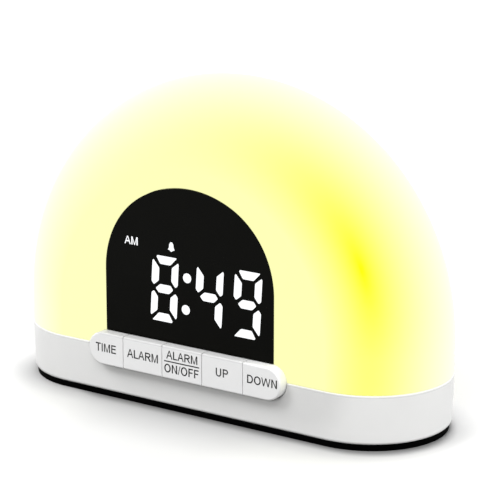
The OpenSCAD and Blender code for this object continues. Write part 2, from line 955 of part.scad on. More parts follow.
module keycap(i) {
    roof_y = key_y + key_shell;
    color([0.93, 0.93, 0.93])
        difference() {
            union() {
                intersection() {
                    bar_solid();
                    key_slice(i, 0, key_y - past, flange_y1 + past);
                }
                intersection() {
                    slab(flange_y0, flange_y1)
                        bar2d(flange_out);
                    key_slice(i, 0, key_y - past, flange_y1 + past);
                }
                rod_y(key_x[i], bar_z, post_r, roof_y - eps, stem_y);
            }
            // hollow behind the face, around the post
            difference() {
                intersection() {
                    slab(roof_y, flange_y1 + past)
                        bar2d(-key_shell);
                    key_slice(i, key_shell, roof_y, flange_y1 + past);
                }
                rod_y(key_x[i], bar_z, post_r, roof_y - past, stem_y + past);
            }
        }
}

module key_time() { keycap(0); }
module key_alarm() { keycap(1); }
module key_alarm_on_off() { keycap(2); }
module key_up() { keycap(3); }
module key_down() { keycap(4); }

// Plunger of a key switch: pressed by the key's post, held in by its collar
module stem(i) {
    collar_y = switch_y + switch_skin + run_gap;
    color([0.2, 0.2, 0.2]) {
        rod_y(key_x[i], bar_z, stem_r, stem_y, collar_y + eps);
        rod_y(key_x[i], bar_z, stem_collar_r, collar_y, collar_y + stem_collar_t);
    }
}

module stem_time() { stem(0); }
module stem_alarm() { stem(1); }
module stem_alarm_on_off() { stem(2); }
module stem_up() { stem(3); }
module stem_down() { stem(4); }

module key_frame() {
    color([0.85, 0.85, 0.85])
        difference() {
            union() {
                box([-frame_x, frame_y0, frame_z0], [frame_x, frame_y1, frame_z1]);
                for (side = [-1, 1])
                    rod_y(side * board_boss_x, board_boss_z, board_boss_r, frame_y1 - eps, board_y0);
            }
            for (x = key_x)
                rod_y(x, bar_z, post_r + run_gap, frame_y0 - past, frame_y1 + past);
            for (side = [-1, 1]) {
                rod_y(side * frame_boss_x, frame_boss_z, screw_hole_r, frame_y0 - past, frame_y1 + past);
                rod_y(side * board_boss_x, board_boss_z, pilot_r,
                    board_y1 - screw_len - pilot_spare, board_y0 + past);
            }
        }
}

module switch_housings() {
    color([0.15, 0.15, 0.15])
        for (x = key_x)
            difference() {
                box([x - switch_w / 2, switch_y, bar_z - switch_w / 2],
                    [x + switch_w / 2, board_y0, bar_z + switch_w / 2]);
                rod_y(x, bar_z, stem_r + run_gap, switch_y - past, board_y0 - past);
                rod_y(x, bar_z, chamber_r, switch_y + switch_skin, board_y0 - switch_floor);
            }
}

module switch_discs() {
    color([0.8, 0.8, 0.75])
        for (x = key_x)
            rod_y(x, bar_z, disc_r, board_y0 - switch_floor - disc_t, board_y0 - switch_floor);
}

// ---- Lamp ----

module lamp_board() {
    color([0.95, 0.95, 0.95])
        difference() {
            box([-lamp_half_w, lamp_y0, deck_top], [lamp_half_w, lamp_y0 + lamp_d, deck_top + board_t]);
            for (i = [-1, 0, 1])
                translate([i * lamp_screw_x, lamp_mid_y, deck_top - past])
                    cylinder(r = screw_hole_r, h = board_t + 2 * past, $fn = small_fn);
        }
}

module lamp_leds() {
    color([1, 0.9, 0.45])
        for (i = [0 : lamp_cols - 1], j = [0 : lamp_rows - 1])
            translate([
                (i - (lamp_cols - 1) / 2) * lamp_led_step,
                lamp_mid_y + (j - (lamp_rows - 1) / 2) * lamp_row_step,
                deck_top + board_t
            ])
                difference() {
                    translate([-lamp_led[0] / 2, -lamp_led[1] / 2, 0])
                        cube(lamp_led);
                    translate([0, 0, lamp_led[2] - dish_h])
                        cylinder(r = dish_r, h = dish_h + past, $fn = small_fn);
                }
}

module lamp_socket() {
    color([0.95, 0.94, 0.88])
        translate([socket_x, lamp_mid_y, deck_top + board_t])
            box([-socket_size[0] / 2, -socket_size[1] / 2, 0],
                [socket_size[0] / 2, socket_size[1] / 2, socket_size[2]]);
}

// ---- Power inlet ----

module power_board() {
    color([0.08, 0.35, 0.2])
        difference() {
            box([-power_w / 2, power_y0, power_z], [power_w / 2, power_y1, power_z + board_t]);
            for (side = [-1, 1])
                translate([side * power_boss_x, power_boss_y, power_z - past])
                    cylinder(r = screw_hole_r, h = board_t + 2 * past, $fn = small_fn);
        }
}

// Section of the inlet's shell, smaller all round by inset
module usb2d(inset) {
    translate([0, usb_z])
        stadium2d(usb_w / 2 - usb_h / 2, usb_h / 2 - inset);
}

module usb_shell() {
    color([0.75, 0.75, 0.77])
        difference() {
            slab(usb_y0, usb_y1)
                usb2d(0);
            slab(usb_y0 + usb_wall, usb_y1 + past)
                usb2d(usb_wall);
        }
}

module usb_tongue() {
    color([0.1, 0.1, 0.1]) {
        slab(usb_y0 + usb_wall, usb_y0 + usb_wall + usb_block)
            usb2d(usb_wall);
        box([-tongue_w / 2, usb_y0 + usb_block, usb_z - tongue_t / 2],
            [tongue_w / 2, usb_y1 - tongue_back, usb_z + tongue_t / 2]);
    }
}

module power_socket() {
    color([0.95, 0.94, 0.88])
        translate([0, power_socket_y, power_z + board_t])
            box([-socket_size[0] / 2, 0, 0], socket_size - [socket_size[0] / 2, 0, 0]);
}

// ---- Speaker ----

module speaker_frame() {
    inner = [speaker_w - 2 * speaker_rim, speaker_h - 2 * speaker_rim];
    color([0.3, 0.3, 0.32])
        difference() {
            translate([speaker_x, 0, speaker_z])
                box([-speaker_w / 2, speaker_y0, -speaker_h / 2], [speaker_w / 2, inner_half, speaker_h / 2]);
            translate([speaker_x, 0, speaker_z])
                box([-inner[0] / 2, speaker_y0 + speaker_back, -inner[1] / 2],
                    [inner[0] / 2, inner_half + past, inner[1] / 2]);
        }
}

module speaker_cone() {
    inner = [speaker_w - 2 * speaker_rim, speaker_h - 2 * speaker_rim];
    color([0.1, 0.1, 0.1])
        translate([speaker_x, 0, speaker_z])
            box([-inner[0] / 2, cone_y, -inner[1] / 2], [inner[0] / 2, cone_y + cone_t, inner[1] / 2]);
}

module speaker_magnet() {
    color([0.6, 0.6, 0.6])
        translate([speaker_x - magnet_size[0] / 2, speaker_y0 + speaker_back, speaker_z - magnet_size[2] / 2])
            cube(magnet_size);
}

// ---- Coin cell ----

module coin_cell() {
    color([0.78, 0.78, 0.76])
        translate([cell_x, cell_y, cell_z0]) {
            cylinder(r = cell_r, h = cell_h - cell_cap_h, $fn = round_fn);
            cylinder(r = cell_r - cell_cap_inset, h = cell_h, $fn = round_fn);
        }
}

module cell_holder() {
    color([0.12, 0.12, 0.12])
        difference() {
            translate([cell_x, cell_y, ring_z1]) {
                cylinder(r = ring_r, h = holder_step_z - ring_z1 + past, $fn = round_fn);
                cylinder(r = holder_r, h = holder_z1 - ring_z1, $fn = round_fn);
            }
            translate([cell_x, cell_y, ring_z1 - past]) {
                cylinder(r = door_hole_r, h = holder_step_z - ring_z1 + past, $fn = round_fn);
                cylinder(r = holder_in_r, h = holder_roof_z - ring_z1 + past, $fn = round_fn);
            }
        }
}

// Leaf under the holder's roof, with a foot that rests on the cell
module cell_spring() {
    color([0.8, 0.75, 0.5])
        translate([cell_x, cell_y, 0]) {
            box([-spring_size[0] / 2, -spring_size[1] / 2, holder_roof_z - contact_t],
                [spring_size[0] / 2, spring_size[1] / 2, holder_roof_z]);
            translate([0, 0, cell_z1])
                cylinder(r = spring_foot_r, h = holder_roof_z - cell_z1, $fn = small_fn);
        }
}

module cell_side_contact() {
    color([0.8, 0.75, 0.5])
        translate([cell_x, cell_y, cell_z0 + contact_lift])
            sector(cell_r + contact_gap, holder_in_r - contact_gap, cell_h, 180, contact_angle);
}

module battery_door() {
    color([0.9, 0.9, 0.9])
        translate([cell_x, cell_y, 0])
            difference() {
                union() {
                    translate([0, 0, door_z0])
                        cylinder(r = tab_r, h = door_skin_t, $fn = round_fn);
                    translate([0, 0, door_z1 - eps])
                        cylinder(r = neck_r, h = tab_z1 - door_z1 + eps, $fn = round_fn);
                    for (turn = [0, 180])
                        translate([0, 0, tab_z0])
                            sector(neck_r - past, tab_r, tab_t, turn, tab_angle);
                }
                // slot for a coin
                translate([-coin_slot[0] / 2, -coin_slot[1] / 2, door_z0 - eps])
                    cube(coin_slot + [0, 0, eps]);
            }
}

// ---- Internal leads ----

// Sleeved lead along straight runs with round corners
module lead(points) {
    for (i = [0 : len(points) - 2]) {
        run = points[i + 1] - points[i];
        length = norm(run);
        translate(points[i])
            rotate([0, acos(run[2] / length), atan2(run[1], run[0])])
                cylinder(d = wire_d, h = length, $fn = small_fn);
        if (i > 0)
            translate(points[i])
                sphere(d = wire_d, $fn = small_fn);
    }
}

module lamp_wires() {
    top = deck_top + board_t + socket_size[2] / 2;
    color([0.8, 0.2, 0.15])
        lead([
            [socket_x, wire_y0, header_z], [socket_x, lamp_wire_y, header_z],
            [socket_x, lamp_wire_y, top], [socket_x, lamp_mid_y - socket_size[1] / 2, top]
        ]);
}

module power_wires() {
    color([0.15, 0.15, 0.15])
        lead([
            [header_x[1], wire_y0, header_z], [header_x[1], power_socket_y, header_z]
        ]);
}

module speaker_wires() {
    color([0.2, 0.35, 0.75])
        lead([
            [header_x[2], wire_y0, header_z], [header_x[2], speaker_turn_y, header_z],
            [speaker_x, speaker_turn_y, header_z], [speaker_x, speaker_y0, header_z]
        ]);
}

module battery_wires() {
    side_z = holder_z1 - wire_d;
    color([0.75, 0.6, 0.15])
        lead([
            [header_x[0], wire_y0, header_z], [header_x[0], cell_y, header_z],
            [header_x[0], cell_y, side_z], [cell_x + holder_r, cell_y, side_z]
        ]);
}

// ---- Fasteners ----

module cover_screws() {
    color([0.7, 0.7, 0.7])
        at_corner_bosses()
            translate([0, 0, sole_h + screw_head_h + head_sink])
                rotate([180, 0, 0])
                    screw(screw_len);
}

module deck_screws() {
    color([0.7, 0.7, 0.7])
        at_corner_bosses()
            translate([0, 0, deck_top])
                screw(short_screw_len);
}

module shroud_screws() {
    color([0.7, 0.7, 0.7])
        for (side = [-1, 1])
            translate([side * ear_x, shroud_y1 + ear_l / 2, deck_top + ear_t])
                screw(short_screw_len);
}

module lamp_screws() {
    color([0.7, 0.7, 0.7])
        for (i = [-1, 0, 1])
            translate([i * lamp_screw_x, lamp_mid_y, deck_top + board_t])
                screw(short_screw_len);
}

module board_screws() {
    color([0.7, 0.7, 0.7])
        for (side = [-1, 1], at = [[upper_boss_x, upper_boss_z], [board_boss_x, board_boss_z]])
            translate([side * at[0], board_y1, at[1]])
                rotate([-90, 0, 0])
                    screw(screw_len);
}

module frame_screws() {
    color([0.7, 0.7, 0.7])
        for (side = [-1, 1])
            translate([side * frame_boss_x, frame_y1, frame_boss_z])
                rotate([-90, 0, 0])
                    screw(short_screw_len);
}

module power_screws() {
    color([0.7, 0.7, 0.7])
        for (side = [-1, 1])
            translate([side * power_boss_x, power_boss_y, power_z + board_t])
                screw(short_screw_len);
}

dome();
display_window();
base_shell();
sole();
bottom_cover();
deck();
display_shroud();
display_housing();
segment_diffusers();
display_leds();
display_pins();
main_board();
main_chip();
crystal();
capacitors();
board_headers();
key_time();
key_alarm();
key_alarm_on_off();
key_up();
key_down();
stem_time();
stem_alarm();
stem_alarm_on_off();
stem_up();
stem_down();
key_frame();
switch_housings();
switch_discs();
lamp_board();
lamp_leds();
lamp_socket();
power_board();
usb_shell();
usb_tongue();
power_socket();
speaker_frame();
speaker_cone();
speaker_magnet();
coin_cell();
cell_holder();
cell_spring();
cell_side_contact();
battery_door();
lamp_wires();
power_wires();
speaker_wires();
battery_wires();
cover_screws();
deck_screws();
shroud_screws();
lamp_screws();
board_screws();
frame_screws();
power_screws();
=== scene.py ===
import math

import bmesh
import bpy
import numpy as np
from mathutils.geometry import tessellate_polygon
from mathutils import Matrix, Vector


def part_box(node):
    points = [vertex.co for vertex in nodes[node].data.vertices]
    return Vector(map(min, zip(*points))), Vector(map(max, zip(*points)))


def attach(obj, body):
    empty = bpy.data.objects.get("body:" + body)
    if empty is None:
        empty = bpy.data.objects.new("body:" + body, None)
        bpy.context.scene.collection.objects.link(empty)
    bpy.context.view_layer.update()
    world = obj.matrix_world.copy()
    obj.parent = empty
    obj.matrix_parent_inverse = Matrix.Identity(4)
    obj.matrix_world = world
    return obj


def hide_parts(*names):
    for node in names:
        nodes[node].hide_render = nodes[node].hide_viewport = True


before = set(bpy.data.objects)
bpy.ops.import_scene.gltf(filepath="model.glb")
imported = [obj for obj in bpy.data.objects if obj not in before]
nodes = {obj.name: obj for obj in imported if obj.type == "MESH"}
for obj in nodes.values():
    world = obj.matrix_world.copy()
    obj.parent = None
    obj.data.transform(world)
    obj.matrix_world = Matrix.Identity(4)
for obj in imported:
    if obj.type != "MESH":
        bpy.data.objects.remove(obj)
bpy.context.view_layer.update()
mm = 0.001


# Lowest and highest corner of a node, in millimetres
def boxOf(node):
    low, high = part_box(node)
    return np.array(low) / mm, np.array(high) / mm


# Linear colour of a display colour, each channel from 0 to 255: the sRGB curve
def paint(red, green, blue):
    share = np.array([red, green, blue]) / 255
    linear = np.where(share > 0.04045, ((share + 0.055) / 1.055) ** 2.4, share / 12.92)
    return (*linear.tolist(), 1.0)


# A colour that keeps this share of itself
def darker(colour, share):
    return (*[share * channel for channel in colour[:3]], 1)


black = (0, 0, 0, 1)
white = (1, 1, 1, 1)

# Measures of the object, in millimetres. The outlines of the key bar and the sole are pills:
# all points within a radius of a straight middle, which reaches as far to the left as to the right
domeLow, domeHigh = boxOf("dome")
windowLow, windowHigh = boxOf("display_window")
keyLow, keyHigh = boxOf("key_time")
soleHigh = boxOf("sole")[1]
seamZ = domeLow[2]
keyFlange = 0.9                   # how far the keys' hidden flanges reach past their faces
barMiddle = (keyLow[2] + keyHigh[2]) / 2
barRound = (keyHigh[2] - keyLow[2]) / 2 - keyFlange
barStraight = -keyLow[0] - keyFlange - barRound
soleRound = soleHigh[1]
soleStraight = soleHigh[0] - soleRound


# A socket as a value in an expression: each operator adds the Math node that works it out
class Wire:
    def __init__(self, finish, socket):
        self.finish = finish
        self.socket = socket

    def __add__(self, other):
        return self.finish.maths("ADD", self, other)

    def __sub__(self, other):
        return self.finish.maths("SUBTRACT", self, other)

    def __rsub__(self, other):
        return self.finish.maths("SUBTRACT", other, self)

    def __mul__(self, other):
        return self.finish.maths("MULTIPLY", self, other)

    def __pow__(self, other):
        return self.finish.maths("POWER", self, other)

    __radd__ = __add__
    __rmul__ = __mul__


# The nodes of a material or a world
class Finish:
    def __init__(self, owner):
        owner.use_nodes = True
        self.owner = owner
        self.tree = owner.node_tree
        self.tree.nodes.clear()

    # Any node: its type, its settings, then the values or links of its sockets
    def add(self, kind, settings=None, values=None, output=0):
        node = self.tree.nodes.new(kind)
        for name, setting in (settings or {}).items():
            setattr(node, name, setting)
        for name, value in (values or {}).items():
            if isinstance(value, Wire):
                self.tree.links.new(value.socket, node.inputs[name])
            else:
                node.inputs[name].default_value = value
        return Wire(self, node.outputs[output]) if node.outputs else node

    def maths(self, operation, *values):
        return self.add("ShaderNodeMath", {"operation": operation}, dict(enumerate(values)))

    # Object coordinates, which are the frame's metres
    def place(self):
        return self.add("ShaderNodeTexCoord", output="Object")

    # The same, one by one
    def axes(self):
        split = {"Vector": self.place()}
        return [self.add("ShaderNodeSeparateXYZ", values=split, output=axis) for axis in "XYZ"]

    # Noise whose grains are about size millimetres wide
    def noise(self, size, detail=2.0, vector=None):
        values = {"Vector": vector or self.place(), "Scale": 1 / (size * mm), "Detail": detail}
        return self.add("ShaderNodeTexNoise", values=values)

    # Colour between two: factor 0 gives the first, 1 the second
    def between(self, factor, first, second):
        return self.add("ShaderNodeMix", {"data_type": "RGBA"}, {0: factor, 6: first, 7: second}, 2)

    # Relief of a height field, in micrometres from trough to crest
    def relief(self, height, micrometres):
        values = {"Height": height, "Distance": micrometres * 1e-6, "Strength": 1.0}
        return self.add("ShaderNodeBump", values=values)

    # 0 up to start, 1 from full, and a smooth rise between
    def rise(self, value, start, full):
        values = {0: value, 1: start, 2: full}
        return self.add("ShaderNodeMapRange", {"interpolation_type": "SMOOTHSTEP"}, values)

    # Distance from a pill outline about the origin: the root of the squares of both ways
    # beyond its straight middle, less its radius
    def fromPill(self, across, up, straight, radius):
        beyond = self.maths("MAXIMUM", self.maths("ABSOLUTE", across) - straight * mm, 0)
        return (beyond * beyond + up * up) ** 0.5 - radius * mm

    # 1 where the camera, a reflection or a see-through surface looks, 0 where light is gathered
    def seen(self):
        camera, glossy, through = [self.add("ShaderNodeLightPath", output=ray)
                                   for ray in ("Is Camera Ray", "Is Glossy Ray", "Is Transmission Ray")]
        return self.maths("MAXIMUM", self.maths("MAXIMUM", camera, glossy), through)

    def surface(self, values):
        shader = self.add("ShaderNodeBsdfPrincipled", values=values)
        self.add("ShaderNodeOutputMaterial", values={"Surface": shader})
        return self.owner


def newFinish(name):
    return Finish(bpy.data.materials.new(name))


# The least share where the value is 0, all where it is 1
def fromLeast(least, value):
    return value * (1 - least) + least


# Painted shade on the casing. Places and distances in millimetres, left is the share of the colour that is
# left
caseShade = dict(
    gapShade=dict(aside=-1.2, fade=(0.6, 1.8), left=0.45),            # painted shade: dark line along the key bar's outline, where its gap lies in shadow
    below=dict(aside=12.0, fade=(3.0, 13.0), left=0.89),         # painted shadow: soft shade that the key bar throws
    seam=dict(begins=(-1.1, -0.8), ends=(-0.3, -0.5), loss=0.2),      # painted shade: greyer band below the seam that dims its highlight, as heights from the seam
)


# Share of the colour left on the casing by its painted shade; the key bar's shades, by across and up, also
# lie on its back
def paintedShadeOnCase(finish):
    x, y, z = finish.axes()
    up = z - barMiddle * mm

    def roundBar(part):
        beside = finish.fromPill(x - part["aside"] * mm, up, barStraight, barRound)
        near, far = part["fade"]
        return fromLeast(part["left"], finish.rise(beside, near * mm, far * mm))

    def step(heights):
        start, full = heights
        return finish.rise(z, (seamZ + start) * mm, (seamZ + full) * mm)

    # Painted shade: the band below the seam, and the key bar's gap line and shadow
    band = step(caseShade["seam"]["begins"]) * step(caseShade["seam"]["ends"])
    shade = roundBar(caseShade["gapShade"]) * roundBar(caseShade["below"])
    return shade * (1 - band * caseShade["seam"]["loss"])


# Painted shade: grey along the upper edge of the keys, where the dark window lies behind it, dimming the
# highlight on that edge
keyShade = dict(
    below=(0.8, 0.4),             # how far below the edge it begins and is full
    ends=(20.0, 30.0),            # how far to the right it begins to fade and is gone
    loss=0.28,                    # share of the colour that it takes
)


# Share of the colour left on the keys by that painted shade
def paintedShadeAlongTop(finish):
    x, y, z = finish.axes()
    start, full = [(barMiddle + barRound - depth) * mm for depth in keyShade["below"]]
    fading, gone = [place * mm for place in keyShade["ends"]]
    return 1 - finish.rise(z, start, full) * (1 - finish.rise(x, fading, gone)) * keyShade["loss"]


moulding = dict(
    cloud=9,                      # width of the slow noise in millimetres
    spread=0.12,                  # how far the roughness differs between grains
)


# Moulded plastic: a slow noise shades the colour, a fine one is the mould's grain in roughness and relief.
# grain is the width of its grains in millimetres, depth their relief in micrometres; the last argument, where
# given, is a painted shade
def mouldedPlastic(name, colour, roughness, grain=0.35, depth=6, shade=0.02, specular=0.4, paintedShade=None):
    finish = newFinish(name)
    cloud = finish.noise(moulding["cloud"], 3)
    fine = finish.noise(grain)
    even = finish.between(cloud, darker(colour, 1 - 2 * shade), colour)
    return finish.surface({
        # Painted shade takes the colour towards black
        "Base Color": finish.between(paintedShade(finish), black, even) if paintedShade else even,
        "Roughness": fine * moulding["spread"] + (roughness - moulding["spread"] / 2),
        "Specular IOR Level": specular,
        "Normal": finish.relief(fine, depth),
    })


metal = dict(
    patch=3,                      # width of the duller patches in millimetres
    dull=0.8,                     # share of the colour that they keep
    spread=0.2,                   # how far the roughness differs between marks
    depth=3,                      # relief of the marks in micrometres
)


# Worked metal: roughness and relief follow noise drawn out along one axis, like the marks of rolling
def workedMetal(name, colour, roughness, stretch=(1, 1, 14), grain=0.5):
    finish = newFinish(name)
    drawn = finish.add("ShaderNodeMapping", values={"Vector": finish.place(), "Scale": stretch})
    marks = finish.noise(grain, 3, drawn)
    patches = finish.noise(metal["patch"])
    return finish.surface({
        "Base Color": finish.between(patches, darker(colour, metal["dull"]), colour),
        "Metallic": 1.0,
        "Roughness": marks * metal["spread"] + (roughness - metal["spread"] / 2),
        "Normal": finish.relief(marks, metal["depth"]),
    })


rubber = dict(
    clean=paint(1, 1, 1),
    dusty=paint(7, 7, 7),
    dust=0.35,                    # how far the dust covers the black
    dustPatch=14,                 # mm
    pebbles=1400,                 # to a metre
    depth=-30,                    # relief of the pebbles in micrometres; below 0 their middles stand out
    roughness=0.7,
    spread=0.2,
    specular=0.02,
)


# Black sole: rubber with a fine pebble grain and a little dust
def pebbledRubber(name):
    finish = newFinish(name)
    spots = {"Vector": finish.place(), "Scale": rubber["pebbles"]}
    pebbles = finish.add("ShaderNodeTexVoronoi", {"feature": "F1"}, spots)
    dust = finish.noise(rubber["dustPatch"], 4) * rubber["dust"]
    return finish.surface({
        "Base Color": finish.between(dust, rubber["clean"], rubber["dusty"]),
        "Roughness": pebbles * rubber["spread"] + rubber["roughness"],
        "Specular IOR Level": rubber["specular"],
        "Normal": finish.relief(pebbles, rubber["depth"]),
    })


circuit = dict(
    tracks=260,                   # waves of the tracks' field to a metre
    steep=14,                     # higher gives narrower tracks
    proud=30,                     # relief of the tracks in micrometres
    weave=0.6,                    # mm
    roughness=0.3,
    spread=0.1,
)


# Circuit board: mask with tracks, which are thin bands around the middle value of a noise field,
# over the woven glass below
def circuitBoard(name, mask, track):
    finish = newFinish(name)
    waves = {"Vector": finish.place(), "Scale": circuit["tracks"], "Detail": 0}
    ridge = (finish.add("ShaderNodeTexNoise", values=waves) - 0.5) * circuit["steep"]
    band = finish.add("ShaderNodeMath", {"operation": "ABSOLUTE", "use_clamp": True}, {0: ridge})
    weave = finish.noise(circuit["weave"], 1)
    return finish.surface({
        "Base Color": finish.between(band, track, mask),
        "Roughness": weave * circuit["spread"] + circuit["roughness"],
        "Normal": finish.relief(1 - band, circuit["proud"]),
    })


smoked = dict(
    dark=paint(10, 10, 8),
    hazy=paint(13, 13, 11),
    haze=6,                       # width of the hazy patches in millimetres
    roughness=0.14,
    spread=0.05,
    specular=0.02,
)


# Dark window sheet: polished black plastic with a trace of haze
def smokedSheet(name):
    finish = newFinish(name)
    haze = finish.noise(smoked["haze"], 3)
    return finish.surface({
        "Base Color": finish.between(haze, smoked["dark"], smoked["hazy"]),
        "Roughness": haze * smoked["spread"] + smoked["roughness"],
        "Specular IOR Level": smoked["specular"],
    })


litFace = dict(
    cool=paint(246, 250, 255),
    mottle=1.2,                   # width of the cooler patches in millimetres
    unlit=paint(120, 120, 120),
    roughness=0.5,
    specular=0.1,
)


# Lit mark: even white light with the faint mottle of a milky diffuser
def litMark(name):
    finish = newFinish(name)
    mottle = finish.noise(litFace["mottle"], 1)
    return finish.surface({
        "Base Color": litFace["unlit"],
        "Roughness": litFace["roughness"],
        "Specular IOR Level": litFace["specular"],
        "Emission Color": finish.between(mottle, litFace["cool"], white),
        "Emission Strength": 1.0,
    })


inkFace = dict(
    full=paint(5, 5, 6),
    thin=paint(14, 14, 15),
    grain=0.25,                   # mm
    roughness=0.5,
    spread=0.1,
    specular=0.2,
)


# Ink: dark grey print that lets a little of the grain below show
def keyInk(name):
    finish = newFinish(name)
    grain = finish.noise(inkFace["grain"])
    return finish.surface({
        "Base Color": finish.between(grain, inkFace["full"], inkFace["thin"]),
        "Roughness": grain * inkFace["spread"] + inkFace["roughness"],
        "Specular IOR Level": inkFace["specular"],
    })


# Light of the dome: the lamp's yellow with a painted sheen fixed to one point: yellow where its wall faces
# that point, near white where it turns away, as the frosted shell's pale sheen looks from there. Blue is full
# times (1 - the share of yellow) to the power of curve, and that share is the squared cosine between the wall
# and the way to that point
glow = dict(
    paintedSheenPoint=(442.0, -660.0, 233.0),       # mm; point that the painted sheen is seen from; the rear's is this point after half a turn
    curve=0.514,
    full=0.864,
    lamp=0.97,                    # share of the colour that the lamp gives
    body=0.035,                   # share that the room's light gives
    mottle=0.012,                 # how far the blue differs between patches
    patch=2.5,                    # width of the patches in millimetres
    grain=0.3,                    # mm
    depth=4,                      # relief of the grains in micrometres
    roughness=0.5,
    spread=0.1,
    specular=0.02,
    bend=0.0013,                  # radians by which the painted yellow band lies further out for each mm of height
    bendFrom=18.0,                # height at which it isn't shifted
    bendOver=0.3,                 # tilt of the shoulder, in radians, over which the shift sets in
    rear=(90.0, 50.0),            # tilts in degrees between which the rear's painted sheen sets in
)


def litDiffuser(name):
    finish = newFinish(name)
    # Painted sheen: the share of yellow kept on each point of the dome
    paintedYellowShare = finish.add("ShaderNodeAttribute", {"attribute_name": "paintedYellowShare"}, output="Fac")
    mottle = finish.noise(glow["patch"]) * glow["mottle"]
    grain = finish.noise(glow["grain"])
    blue = (1 - paintedYellowShare) ** glow["curve"] * glow["full"] - mottle
    body = glow["body"]
    return finish.surface({
        "Base Color": finish.between(blue, (body, body, 0, 1), (body, body, body, 1)),
        "Roughness": grain * glow["spread"] + glow["roughness"],
        "Specular IOR Level": glow["specular"],
        "Emission Color": finish.between(blue, (1, 1, 0, 1), white),
        "Emission Strength": glow["lamp"],
        "Normal": finish.relief(grain, glow["depth"]),
    })


materials = dict(
    diffuser=litDiffuser("dome_light_painted_sheen"),
    window=smokedSheet("window_black"),
    lit=litMark("digit_light"),
    # The casing and the keys get painted shade in their colour
    case=mouldedPlastic("case_white", paint(242, 242, 241), 0.42, paintedShade=paintedShadeOnCase),
    keys=mouldedPlastic("key_white", paint(245, 245, 245), 0.46, grain=0.25, specular=0.2, paintedShade=paintedShadeAlongTop),
    ink=keyInk("key_ink"),
    sole=pebbledRubber("sole_black"),
    innerWhite=mouldedPlastic("inner_white", paint(238, 238, 234), 0.6, grain=0.5),
    innerBlack=mouldedPlastic("inner_black", paint(26, 26, 27), 0.5, grain=0.4),
    milky=mouldedPlastic("milky_filling", paint(236, 236, 228), 0.7, grain=0.6),
    board=circuitBoard("board_green", paint(16, 84, 52), paint(34, 118, 74)),
    lampBoard=circuitBoard("board_white", paint(240, 240, 238), paint(222, 224, 226)),
    socket=mouldedPlastic("socket_cream", paint(236, 230, 208), 0.5, grain=0.3),
    lens=mouldedPlastic("lens_yellow", paint(250, 222, 120), 0.25, grain=0.2, depth=1),
    tinned=workedMetal("tinned_metal", paint(196, 198, 200), 0.32),
    contact=workedMetal("contact_metal", paint(212, 190, 120), 0.3),
    zinc=workedMetal("zinc_steel", paint(186, 190, 196), 0.34, stretch=(1, 1, 1), grain=0.3),
    magnet=workedMetal("magnet_grey", paint(120, 122, 126), 0.5, stretch=(1, 1, 1), grain=0.8),
    capacitor=mouldedPlastic("capacitor_blue", paint(28, 32, 74), 0.35, grain=0.5),
    cone=mouldedPlastic("cone_paper", paint(30, 30, 32), 0.85, grain=0.3, depth=25),
    red=mouldedPlastic("sleeve_red", paint(188, 38, 30), 0.45),
    black=mouldedPlastic("sleeve_black", paint(30, 30, 30), 0.45),
    blue=mouldedPlastic("sleeve_blue", paint(40, 78, 178), 0.45),
    yellow=mouldedPlastic("sleeve_yellow", paint(206, 168, 40), 0.45),
)

# Nodes that are shown as they are, by finish
finishNodes = dict(
    window="display_window",
    case="base_shell bottom_cover battery_door",
    sole="sole",
    keys="key_time key_alarm key_alarm_on_off key_up key_down",
    innerWhite="deck display_shroud key_frame",
    innerBlack="display_housing main_chip switch_housings usb_tongue speaker_frame cell_holder "
               "stem_time stem_alarm stem_alarm_on_off stem_up stem_down",
    milky="segment_diffusers",
    board="main_board power_board",
    lampBoard="lamp_board",
    socket="board_headers lamp_socket power_socket",
    lens="display_leds lamp_leds",
    tinned="display_pins crystal usb_shell coin_cell",
    contact="switch_discs cell_spring cell_side_contact",
    zinc="cover_screws deck_screws shroud_screws lamp_screws board_screws frame_screws power_screws",
    magnet="speaker_magnet",
    capacitor="capacitors",
    cone="speaker_cone",
    red="lamp_wires",
    black="power_wires",
    blue="speaker_wires",
    yellow="battery_wires",
)
for finishName, names in finishNodes.items():
    for node in names.split():
        for materialSlot in nodes[node].material_slots:
            materialSlot.material = materials[finishName]
print("finishes:", len(materials))


# Quads between neighbouring rows and columns of a grid of points; loop joins the last row to the first
def gridQuads(rows, columns, loop=False):
    row = np.arange(rows if loop else rows - 1)[:, None] * columns
    after = (row + columns) % (rows * columns)
    column = np.arange(columns - 1)[None, :]
    corners = row + column, row + column + 1, after + column + 1, after + column
    return np.stack(corners, -1).reshape(-1, 4).tolist()


# Mesh object from points in millimetres: doubles welded, faces turned outwards,
# and edges past an angle in degrees kept sharp. marks are values for each point, by name
def makePiece(name, points, faces, material, body, marks=None, sharpFrom=32):
    mesh = bpy.data.meshes.new(name)
    mesh.from_pydata((np.asarray(points) * mm).tolist(), [], faces)
    for mark, values in (marks or {}).items():
        mesh.attributes.new(mark, "FLOAT", "POINT").data.foreach_set("value", np.ravel(values))
    shell = bmesh.new()
    shell.from_mesh(mesh)
    bmesh.ops.remove_doubles(shell, verts=shell.verts, dist=0.001 * mm)
    bmesh.ops.recalc_face_normals(shell, faces=shell.faces)
    shell.to_mesh(mesh)
    shell.free()
    mesh.polygons.foreach_set("use_smooth", np.ones(len(mesh.polygons), bool))
    mesh.set_sharp_from_angle(angle=math.radians(sharpFrom))
    mesh.materials.append(material)
    piece = bpy.data.objects.new(name, mesh)
    bpy.context.scene.collection.objects.link(piece)
    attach(piece, body)
    return piece


